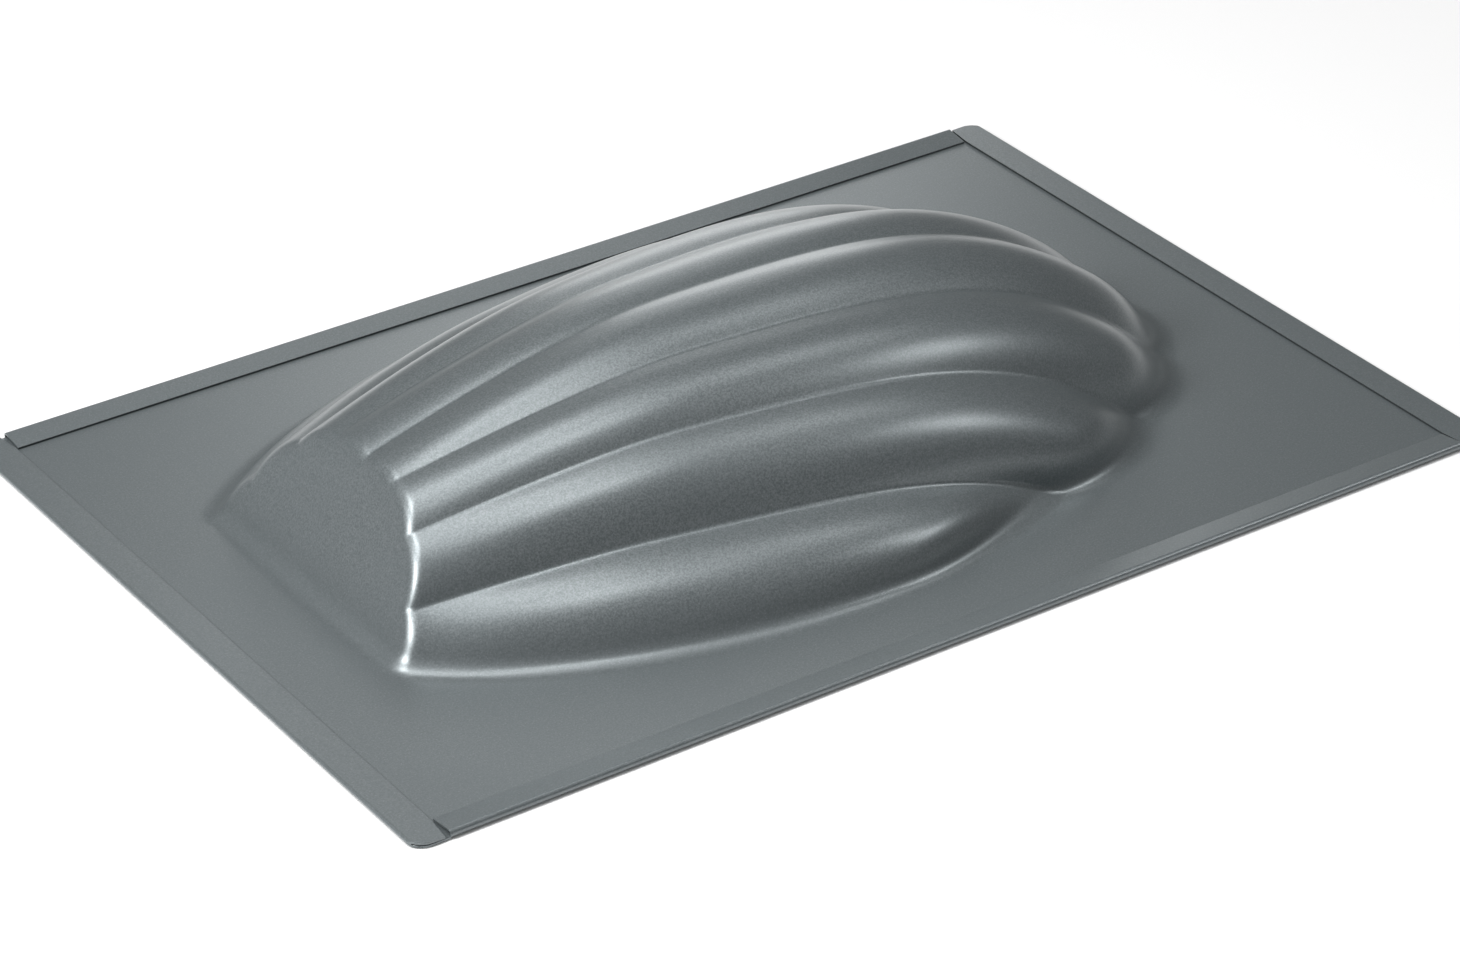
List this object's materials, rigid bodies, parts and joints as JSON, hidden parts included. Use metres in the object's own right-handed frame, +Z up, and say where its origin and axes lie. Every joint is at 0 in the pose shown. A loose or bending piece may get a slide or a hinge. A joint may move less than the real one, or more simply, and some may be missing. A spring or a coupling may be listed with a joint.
{
  "type": "giant madeleine baking mould",
  "caption": "Large single madeleine mould: a ribbed scallop-shell cake form pressed in a flat steel sheet with folded edges, lying dome up.",
  "frame": {"origin": "middle of the pan's underside, on the plane that the flange rests on when the pan lies dome up", "axes": "+X along the pan's length from the flat end of the form to its scalloped end, +Y across the pan, +Z up out of the dome"},
  "size_m": [0.35, 0.241, 0.0547],
  "materials": {
    "coated_steel": "grey non-stick coating on steel, satin with a fine grain"
  },
  "bodies": {
    "root": {"mould_shell": "coated_steel", "flange": "coated_steel", "narrow_end_hem": "coated_steel", "wide_end_hem": "coated_steel", "front_long_hem": "coated_steel", "back_long_hem": "coated_steel"}
  },
  "joints": []
}
